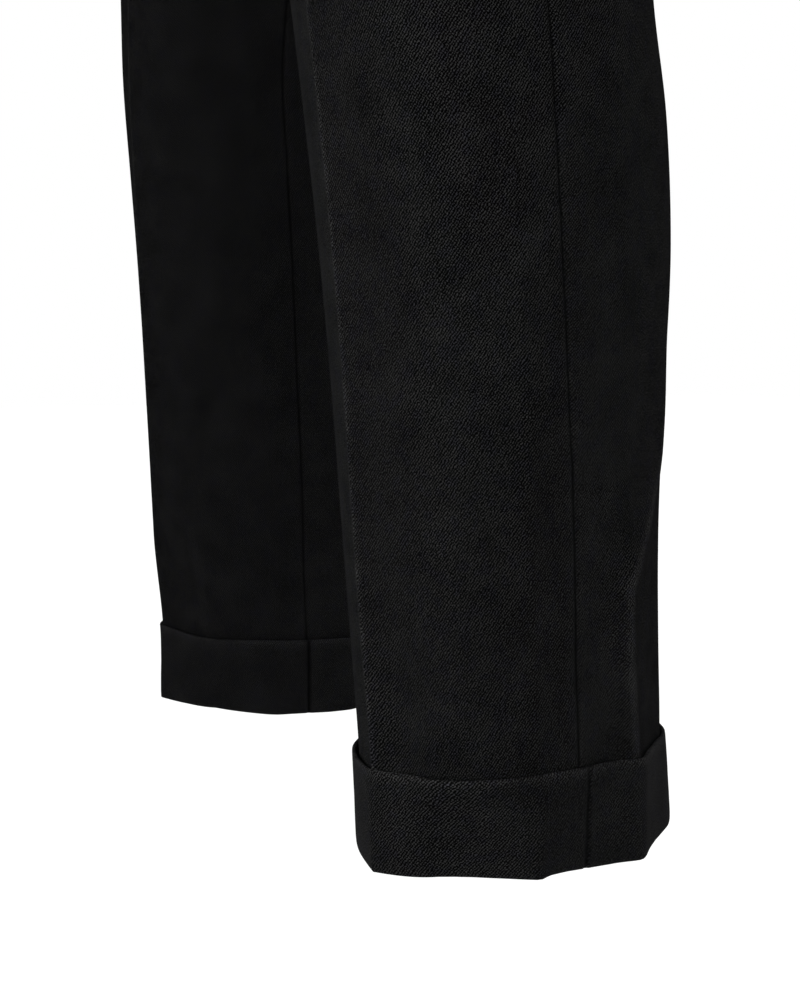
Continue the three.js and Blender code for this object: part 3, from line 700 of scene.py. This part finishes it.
waist = waist_half(band_thick / 2)
waist_front = waist[0, 1]


def lap_y(x):
    """The middle of the lapped end at x."""
    return waist_front - lap_stands + x * x / 900


band_stops = ([(x, lap_y(x)) for x in (-30, -19.8, -9.9, 0)]
              + [(waist[0, 0] * 1.1, waist_front - lap_stands * 0.62)]
              + [tuple(p) for p in waist[1:]]
              + [(-p[0], p[1]) for p in waist[::-1]] + [(-2, waist_front)])
band_stops = np.array(band_stops)


def smoothed(stops, steps):
    """A smooth path through points, by evenly mixed slopes."""
    run = run_of(stops)
    slopes = np.gradient(stops, run, axis=0)
    path = []
    for i in range(len(stops) - 1):
        gap = run[i + 1] - run[i]
        for x in np.arange(steps) / steps:
            path.append(stops[i] * (1 + 2 * x) * (1 - x) ** 2 + gap * slopes[i] * x * (1 - x) ** 2
                        + stops[i + 1] * x * x * (3 - 2 * x) + gap * slopes[i + 1] * x * x * (x - 1))
    path.append(stops[-1])
    return np.array(path)


band_path = smoothed(band_stops, 5)
band_run = run_of(band_path)
band_heading = np.gradient(band_path, axis=0)
band_heading /= np.linalg.norm(band_heading, axis=1)[:, None]
band_out = np.column_stack([band_heading[:, 1], -band_heading[:, 0]])
# The strip's own section: out from its middle, and height. Its long edges are soft folds, and below
# the lower one the inner layer hangs on a little behind the seam.
band_section = []
for height in np.linspace(-18.6, 18.6, 15):
    band_section.append((1.5 - 0.12 * (height / 18.6) ** 2, height))
band_section += [(1.1, 19.5), (0.4, 19.95), (-0.4, 19.95), (-1.1, 19.5)]
for height in np.linspace(18.6, -18.6, 7):
    band_section.append((-1.5 + 0.12 * (height / 18.6) ** 2, height))
band_section += [(-1.55, -19.5), (-1.55, -20.6), (-1.5, -22), (-1.2, -22.6), (-0.9, -22), (-0.85, -20.6),
                 (-0.4, -19.95), (0.4, -19.95), (1.1, -19.5)]
band_section = np.array(band_section)
profile_count = len(band_section)
# How far round the band the inner layer hangs: nowhere on the lapped ends.
inner_step = 1.35
lowest_fold = -19.95
hangs = eased((np.minimum(band_run, band_run[-1] - band_run) - 62) / 12)
ends = np.clip(np.minimum(band_run, band_run[-1] - band_run) / 1.4, 0, 1)
plump = 0.45 + 0.55 * np.sqrt(1 - (1 - ends) ** 2)
points, weave = [], []
for i, (x, y) in enumerate(band_path):
    for out, height in band_section:
        ripple = 0.12 * np.sin(band_run[i] / 17 + height / 9) if abs(out) > 1.3 else 0
        move = out * plump[i] + ripple * np.sign(out)
        if height < -20:
            move -= inner_step * hangs[i]
            height = lowest_fold + (height - lowest_fold) * hangs[i]
        points.append((x + band_out[i, 0] * move, y + band_out[i, 1] * move, height))
        weave.append((band_run[i], height))
points, weave = np.array(points), np.array(weave)
faces = []
for i in range(len(band_path) - 1):
    for k in range(profile_count):
        a, b = i * profile_count + k, i * profile_count + (k + 1) % profile_count
        faces.append((a, b, b + profile_count, a + profile_count))
band_faces = np.array(faces)
if volume(points, band_faces) < 0:
    band_faces = band_faces[:, ::-1]
    caps = [tuple(range(profile_count)), tuple(range(len(points) - profile_count, len(points)))[::-1]]
else:
    caps = [tuple(range(profile_count))[::-1], tuple(range(len(points) - profile_count, len(points)))]
all_faces = [tuple(f) for f in band_faces] + caps
corners = np.concatenate([np.array(f) for f in all_faces])
band = mesh_piece("waistband_strip", points, all_faces, weave[corners])
finish_cloth(band, "waistband")

# Waist button: a cast polyester button 18 mm across with a rim, a dished face and four holes, sewn through
# the lapped end of the band with two parallel bars of thread.
button_x = -16
button_turn = 0.036
button_seat = lap_y(button_x) - band_thick / 2 - 0.3
bpy.ops.object.select_all(action="DESELECT")
bpy.ops.mesh.primitive_cylinder_add(vertices=64, radius=0.009, depth=0.003, location=(0, 0, 0.0015))
button = bpy.context.active_object
button.name = "waist_button_disc"
bpy.ops.object.mode_set(mode="EDIT")
bpy.ops.mesh.select_mode(type="FACE")
bpy.ops.mesh.select_all(action="DESELECT")
bpy.ops.object.mode_set(mode="OBJECT")
for face in button.data.polygons:
    face.select = face.normal.z > 0.9
bpy.ops.object.mode_set(mode="EDIT")
bpy.ops.mesh.inset(thickness=0.0018, depth=0)
bpy.ops.mesh.inset(thickness=0.0010, depth=-0.0007)
bpy.ops.object.mode_set(mode="OBJECT")
soften = button.modifiers.new("soft edges", "BEVEL")
soften.width = 0.0004
soften.segments = 3
soften.limit_method = "ANGLE"
soften.angle_limit = np.radians(30)
bpy.ops.object.modifier_apply(modifier=soften.name)
hole_places = [(sx * 0.0015, sy * 0.0015) for sx in (-1, 1) for sy in (-1, 1)]
for hole_x, hole_y in hole_places:
    bpy.ops.object.select_all(action="DESELECT")
    bpy.ops.mesh.primitive_cylinder_add(
        vertices=20, radius=0.0009, depth=0.008, location=(hole_x, hole_y, 0.0015))
    drill = bpy.context.active_object
    bored = button.modifiers.new("hole", "BOOLEAN")
    bored.operation = "DIFFERENCE"
    bored.solver = "EXACT"
    bored.object = drill
    bpy.context.view_layer.objects.active = button
    bpy.ops.object.modifier_apply(modifier=bored.name)
    bpy.data.objects.remove(drill, do_unlink=True)
bpy.ops.object.select_all(action="DESELECT")
button.select_set(True)
bpy.context.view_layer.objects.active = button
button.rotation_euler = (np.pi / 2, 0, button_turn)
button.location = (button_x / 1000, button_seat / 1000, 0)
bpy.ops.object.transform_apply(location=True, rotation=True, scale=True)
bpy.ops.object.shade_smooth_by_angle(angle=np.radians(35))


def cast_polyester():
    """Black cast polyester, turned and tumbled: satin, with faint cloudy bands like horn."""
    material = new_material("black_cast_polyester")
    place = node(material, "ShaderNodeTexCoord").outputs["Object"]
    clouds = node(material, "ShaderNodeTexNoise", {
        "Vector": place, "Scale": 260, "Detail": 3, "Distortion": 1.4})
    tones = node(material, "ShaderNodeValToRGB", {"Fac": clouds.outputs["Fac"]})
    tones.color_ramp.elements[0].position = 0.35
    tones.color_ramp.elements[0].color = linear("#121011")
    tones.color_ramp.elements[1].position = 0.75
    tones.color_ramp.elements[1].color = linear("#2c2726")
    wear_and_painted_highlight = node(material, "ShaderNodeMapRange", {
        "Value": clouds.outputs["Fac"], "To Min": 0.28, "To Max": 0.48})
    shader = node(material, "ShaderNodeBsdfPrincipled", {
        "Base Color": tones.outputs["Color"], "Roughness": wear_and_painted_highlight.outputs[0], "IOR": 1.55})
    node(material, "ShaderNodeOutputMaterial", {"Surface": shader.outputs[0]})
    return material


button.data.materials.clear()
button.data.materials.append(cast_polyester())
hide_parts("waist_button")
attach(button, "root")

# Two parallel bars of thread cross the button's dished face from hole to hole.
bars = []
for hole_x in (-1.5, 1.5):
    for shift in (-0.3, 0.3):
        face_y = button_seat - 2.3
        x = button_x + hole_x + shift
        bars.append([(x, face_y + 1.6, -1.5), (x, face_y - 0.15, -1.2), (x, face_y - 0.4, 0),
                     (x, face_y - 0.15, 1.2), (x, face_y + 1.6, 1.5)])
thread_piece("button_thread", bars, 0.5)

# Buttonhole: close upright stitches along both sides of a slit 24 mm long in the lapped end and round one
# end of it; the band itself is not cut.
slit_from, slit_to = -20, 4
bound = []
for x in np.arange(slit_from, slit_to, 0.62):
    face_y = lap_y(x) - band_thick / 2
    for sign in (-1, 1):
        bound.append([(x, face_y + 0.35, sign * 0.15), (x, face_y - 0.2, sign * 0.7),
                      (x, face_y - 0.2, sign * 1.5), (x, face_y + 0.35, sign * 2.1)])
for angle in np.radians(np.arange(-80, 81, 20)):
    face_y = lap_y(slit_to) - band_thick / 2
    reach = np.array([np.cos(angle), np.sin(angle)])
    bound.append([(slit_to + reach[0] * r, face_y + d, reach[1] * r)
                  for r, d in ((0.2, 0.35), (0.8, -0.2), (1.6, -0.2), (2.2, 0.35))])
thread_piece("buttonhole_stitches", bound, 0.55)

# Turn-ups: the leg's own cloth, left long, folded up outside the leg to 45 mm and pressed. The doubled
# cloth stands a little off the leg, and the seams and creases run on over it.
turn_up = 45
doubled = 1.8
face_mm = cloth_mm / 2
stands = {"height": [turn_up, turn_up / 2, 2.1], "off": [face_mm + 1.1, face_mm + 0.4, face_mm + 0.3]}
quarter_mm = 95               # a quarter of the way round the leg at the hem, and inside it
inner_quarter_mm = 85
# How far each fold edge of the turn-up lies from level, in mm, by place round the leg.
left_edges = {"place": [0, 0.5, 0.74, 0.79, 0.84, 1, 1.15, 1.3, 1.5, 1.7, 2, 2.5, 3, 3.5, 4],
              "bottom": [0, 0, -0.8, -0.9, 0.1, -0.4, -0.9, -0.2, 0.8, 1.0, 0.6, 0.2, 0, 0, 0],
              "top": [-0.6, -0.4, -0.2, 0, 0.2, 0.4, 0, -0.5, -0.6, -1.8, -3, -2.6, -1.8, -1.8, -0.6]}
right_edges = {"place": [0, 0.2, 0.5, 1, 1.5, 2, 2.6, 2.85, 3, 3.25, 3.55, 3.75, 4],
               "bottom": [-1.5, 0, 0.3, 0.6, -0.6, -3, -5, -4, -3, -1.8, 1.2, 0.4, -1.5],
               "top": [2, 1.2, 0.4, 0.4, 0, -2, -2.5, -1.6, -1, 0, 0, 0.6, 2]}
# Places round the leg, from the inseam, close together at the seams and creases.
close = np.array([0, 0.005, 0.01, 0.016, 0.024, 0.036, 0.055])
cuff_places = [3 + np.arange(0, 4, 0.022)]
for line in (0, 1.03, 2, 3, 4, 5, 6, 7):
    cuff_places += [line - close, line + close]
cuff_places = np.unique(np.round(np.concatenate(cuff_places), 4))
cuff_places = cuff_places[(cuff_places >= 3) & (cuff_places < 7 - 1e-6)]


def ring_points(height, places, out):
    """Points all round one leg at one height, moved out."""
    places = places % 4
    points = np.zeros((len(places), 2))
    front = (places < 1) | (places > 3)
    shares = np.where(places < 1, 1 - places, 5 - places)
    points[front] = along(section(height, True, out), shares[front])
    points[~front] = along(section(height, False, out), (places - 1)[~front])
    return points


def turned_up(side):
    """The turn-up of one leg: its profile carried all round the hem."""
    edges = left_edges if side == "left" else right_edges
    folds = left_folds if side == "left" else right_folds
    # How far out, how high, and how much the seams and creases show there.
    profile = [(-face_mm, 0.5, 0), (0.2, 0.15, 0), (1.2, 0.0, 0.4),
               (2.0, 0.12, 0.8), (2.45, 0.6, 1), (2.6, 1.4, 1)]
    for height in (4, 7, 11, 15, 19, 23, 27, 31, 35, 38.5, 41.5, 43.4):
        off = np.interp(height, stands["height"][::-1], stands["off"][::-1])
        belly = 0.3 * np.sin(np.pi * height / turn_up)
        profile.append((off + doubled + belly, height, 1))
    top_off = stands["off"][0]
    for angle in np.radians([20, 50, 80, 110, 140, 165]):
        profile.append((top_off + doubled / 2 * (1 + np.cos(angle)), 44.15 + 0.85 * np.sin(angle), 0.6))
    for height in (43.4, 38, 30, 22.5, 14, 7):
        profile.append((np.interp(height, stands["height"][::-1], stands["off"][::-1]), height, 0))
    profile += [(face_mm + 0.4, 2.1, 0), (-face_mm, 2.1, 0)]
    points, weave, near = [], [], {"seam": [], "ridge": []}
    around = None
    from_seam = np.abs(cuff_places % 4 - 1.03)
    inner_seam = np.minimum(np.abs(cuff_places - 3), np.abs(cuff_places - 7))
    from_front = np.minimum(cuff_places % 4, 4 - cuff_places % 4)
    from_back = np.abs(cuff_places % 4 - 2)
    for out, rise, shown in profile:
        height = hem_height + rise
        ring = ring_points(height, cuff_places, out)
        heading = np.roll(ring, -1, axis=0) - np.roll(ring, 1, axis=0)
        heading /= np.linalg.norm(heading, axis=1)[:, None]
        away = np.column_stack([heading[:, 1], -heading[:, 0]])
        level = np.full(len(cuff_places), max(height, -958.0))
        move = drape(folds, cuff_places % 4, level) + pressed_out(cuff_places % 4, height)
        move += 1.2 * np.exp(-from_front * quarter_mm / 6) + 1.0 * np.exp(-from_back * quarter_mm / 6)
        groove = (np.exp(-(from_seam * quarter_mm / 0.9) ** 2)
                  + np.exp(-(inner_seam * inner_quarter_mm / 0.9) ** 2))
        if shown:
            blunt = 0.3 + 1.3 * rise / turn_up
            corners_near = (np.exp(-from_front * quarter_mm / 2.5)
                            + np.exp(-from_back * quarter_mm / 2.5))
            move -= shown * (blunt * corners_near + 1.15 * groove)
        # Painted shade along the seam grooves.
        near["seam"].append(groove)
        # Painted highlight along the turn-up's top fold, and fainter along its bottom fold.
        wear_and_painted_highlight = np.interp(rise, [0, 0.7, 40.5, 43.8, 45], [0.35, 0, 0, 1, 1])
        near["ridge"].append(np.full(len(groove), wear_and_painted_highlight if shown else 0.0))
        ring = ring + away * move[:, None]
        lift = (np.interp(cuff_places % 4, edges["place"], edges["bottom"]) * (1 - rise / turn_up)
                + np.interp(cuff_places % 4, edges["place"], edges["top"]) * (rise / turn_up))
        if around is None:
            around = run_of(np.vstack([ring, ring[:1]]))
        points.append(np.column_stack([ring, hem_height + rise + lift]))
        weave.append(np.column_stack([around[:-1], np.full(len(ring), height)]))
    points, weave = np.array(points), np.array(weave)
    count, wide = points.shape[:2]
    faces, corners = [], []
    sign = 1 if side == "left" else -1
    for r in range(count):
        after = (r + 1) % count
        for c in range(wide):
            beside = (c + 1) % wide
            faces.append((r * wide + c, r * wide + beside, after * wide + beside, after * wide + c))
            u0, u1 = around[c] * sign, around[c + 1] * sign
            v0, v1 = weave[r, c, 1], weave[after, c, 1]
            corners.append([(u0, v0), (u1, v0), (u1, v1), (u0, v1)])
    faces, corners = np.array(faces), np.array(corners)
    points = set_back(points, side).reshape(-1, 3)
    if volume(points, faces) < 0:
        faces, corners = faces[:, ::-1], corners[:, ::-1]
    near = {line: np.array(values) for line, values in near.items()}
    return mesh_piece(side + "_turn_up", points, faces, corners.reshape(-1, 2), near)


# Turned up, the cloth's nap stands against the light, so its sides are paler than the leg's.
turned_twill = wool_twill("black_wool_twill_turned_up", 0.014)
finish_cloth(turned_up("left"), "cuff_left", cloth=turned_twill)
finish_cloth(turned_up("right"), "cuff_right", cloth=turned_twill)

# Floor: plain and pale, 60 mm under the hems, where a wearer's soles would be.
bpy.ops.object.select_all(action="DESELECT")
bpy.ops.mesh.primitive_plane_add(size=14, location=(0, 0, -1.02))
floor = bpy.context.active_object
floor.name = "floor"
pale = new_material("pale_matt_floor")
pale_shader = node(pale, "ShaderNodeBsdfPrincipled", {
    "Base Color": linear("#707070"), "Roughness": 0.95, "Specular IOR Level": 0.1,
    "Emission Color": (1, 1, 1, 1), "Emission Strength": 0.92})
node(pale, "ShaderNodeOutputMaterial", {"Surface": pale_shader.outputs[0]})
floor.data.materials.append(pale)

# Light: a white studio all round, and two soft boxes with narrow grids, one on the wearer's front
# right and one on the front left. They reach the left leg's lower half and little else.
scene = bpy.context.scene
world = bpy.data.worlds.new("white_studio")
world.use_nodes = True
world.node_tree.nodes["Background"].inputs["Color"].default_value = (1, 1, 1, 1)
world.node_tree.nodes["Background"].inputs["Strength"].default_value = 1.0
scene.world = world
scene.view_settings.view_transform = "Standard"


def soft_light(name, place, aim, width, height, spread, watts):
    """A soft box at a place, turned to a point, with a grid that narrows its light to spread degrees."""
    light = bpy.data.lights.new(name, "AREA")
    light.shape = "RECTANGLE"
    light.size = width
    light.size_y = height
    light.spread = np.radians(spread)
    light.energy = watts
    lamp = bpy.data.objects.new(name, light)
    bpy.context.collection.objects.link(lamp)
    lamp.location = place
    lamp.rotation_euler = (Vector(aim) - Vector(place)).to_track_quat("-Z", "Y").to_euler()
    return lamp


soft_light("front_box", (-0.12, -1.27, -0.35), (0.13, -0.05, -0.57), 0.3, 0.9, 28, 1.05)
soft_light("side_box", (1.12, -0.87, -0.35), (0.19, -0.02, -0.57), 0.3, 0.9, 20, 1.0)

# Camera: at knee height, 60 degrees round from the front on the wearer's left, looking down a little.
camera_data = bpy.data.cameras.new("camera")
camera_data.sensor_fit = "VERTICAL"
camera_data.sensor_height = 36
camera_data.lens = 45.32
camera_data.clip_start = 0.01
camera = bpy.data.objects.new("camera", camera_data)
bpy.context.collection.objects.link(camera)
camera.location = (0.5973, -0.3243, -0.7448)
round_angle, down_angle = np.radians(59.83), np.radians(6.165)
view_line = Vector((-np.sin(round_angle) * np.cos(down_angle), np.cos(round_angle) * np.cos(down_angle),
                    -np.sin(down_angle)))
camera.rotation_euler = view_line.to_track_quat("-Z", "Y").to_euler()
scene.camera = camera
